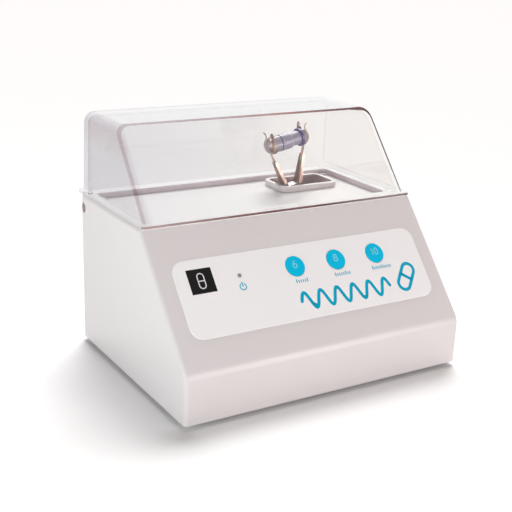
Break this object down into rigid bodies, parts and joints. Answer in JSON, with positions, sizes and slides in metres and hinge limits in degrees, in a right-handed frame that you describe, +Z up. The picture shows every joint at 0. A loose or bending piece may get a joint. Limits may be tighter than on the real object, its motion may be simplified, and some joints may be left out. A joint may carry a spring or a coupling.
{
  "type": "dental amalgamator",
  "caption": "Bench-top dental capsule mixer with a sloped keypad front and a clear hinged lid over an oscillating fork that grips a capsule.",
  "frame": {"origin": "middle of the outline on the ground under the feet", "axes": "+X to the user's right, +Y from the keypad front to the back, +Z up"},
  "size_m": [0.22, 0.1706, 0.1697],
  "materials": {
    "white_plastic": "fine satin moulding",
    "clear_plastic": "clear polished moulding",
    "overlay_film": "printed film with a fine texture",
    "key_plastic": "smooth coloured moulding",
    "lamp_lens": "smoky light pipe",
    "black_plastic": "fine moulded texture",
    "foot_rubber": "matte moulded rubber",
    "arm_steel": "pressed spring sheet, lightly brushed",
    "plated_steel": "zinc plated",
    "bearing_steel": "ground and oiled",
    "cast_alloy": "cast and turned",
    "core_iron": "stacked laminations",
    "winding_copper": "enamelled wire",
    "board_laminate": "green solder resist",
    "board_parts": "sleeved parts",
    "capsule_lilac": "translucent moulding",
    "capsule_purple": "coloured moulding"
  },
  "bodies": {
    "machine": {"housing": "white_plastic", "base_plate": "plated_steel", "base_screws": "plated_steel", "feet": "foot_rubber", "keypad_overlay": "overlay_film", "status_lamp": "lamp_lens", "control_board": "board_laminate", "key_switches": "black_plastic", "board_screws": "plated_steel", "lid_sensor": "black_plastic", "hinge_pins": "black_plastic", "motor_can": "plated_steel", "motor_end_cap": "black_plastic", "motor_screws": "plated_steel", "motor_bracket": "plated_steel", "isolators": "foot_rubber", "isolator_bolts": "plated_steel", "bearing_cup": "cast_alloy", "end_bearing": "bearing_steel", "cup_screws": "plated_steel", "fork_spring": "plated_steel", "spring_post": "plated_steel", "transformer_core": "core_iron", "transformer_winding": "winding_copper", "transformer_screws": "plated_steel", "power_board": "board_laminate", "power_parts": "board_parts", "power_board_screws": "plated_steel", "mains_inlet": "black_plastic", "inlet_contacts": "plated_steel", "fuse_holder": "black_plastic", "switch_frame": "black_plastic"},
    "lid": {"lid": "clear_plastic", "lid_magnet": "plated_steel"},
    "fork": {"fork_hub": "cast_alloy", "fork_bearing_outer": "bearing_steel", "left_arm": "arm_steel", "right_arm": "arm_steel", "arm_bolts": "plated_steel", "arm_nuts": "plated_steel", "left_claw": "arm_steel", "right_claw": "arm_steel", "claw_rivets": "plated_steel", "capsule_body": "capsule_lilac", "capsule_cap": "capsule_purple"},
    "shaft": {"drive_shaft": "bearing_steel", "motor_rotor": "core_iron", "oblique_sleeve": "bearing_steel", "sleeve_set_screw": "plated_steel", "fork_bearing_inner": "bearing_steel"},
    "key_6s": {"button_6s": "key_plastic"},
    "key_8s": {"button_8s": "key_plastic"},
    "key_10s": {"button_10s": "key_plastic"},
    "rocker": {"power_rocker": "black_plastic"}
  },
  "joints": [
    {"name": "lid_hinge", "type": "hinge", "parent": "machine", "child": "lid", "pos_m": [0, 0.07405, 0.1025], "axis": [-1, 0, 0], "range_deg": [0, 105]},
    {"name": "shaft_spin", "type": "hinge", "parent": "machine", "child": "shaft", "pos_m": [0.057, 0.05065, 0.0795], "axis": [1, 0, 0], "continuous": true},
    {"name": "fork_swing", "type": "hinge", "parent": "machine", "child": "fork", "pos_m": [0.057, 0.05065, 0.0795], "axis": [0, 1, 0], "range_deg": [0, 21], "deforming": ["fork_spring"]},
    {"name": "key_6s_press", "type": "slide", "parent": "machine", "child": "key_6s", "axis": [0, 0.7529, -0.6582], "range_m": [0, 0.0005], "stiffness_N_per_m": 400},
    {"name": "key_8s_press", "type": "slide", "parent": "machine", "child": "key_8s", "axis": [0, 0.7529, -0.6582], "range_m": [0, 0.0005], "stiffness_N_per_m": 400},
    {"name": "key_10s_press", "type": "slide", "parent": "machine", "child": "key_10s", "axis": [0, 0.7529, -0.6582], "range_m": [0, 0.0005], "stiffness_N_per_m": 400},
    {"name": "rocker_tip", "type": "hinge", "parent": "machine", "child": "rocker", "pos_m": [-0.008, 0.07795, 0.031], "axis": [1, 0, 0], "range_deg": [0, 16]}
  ]
}
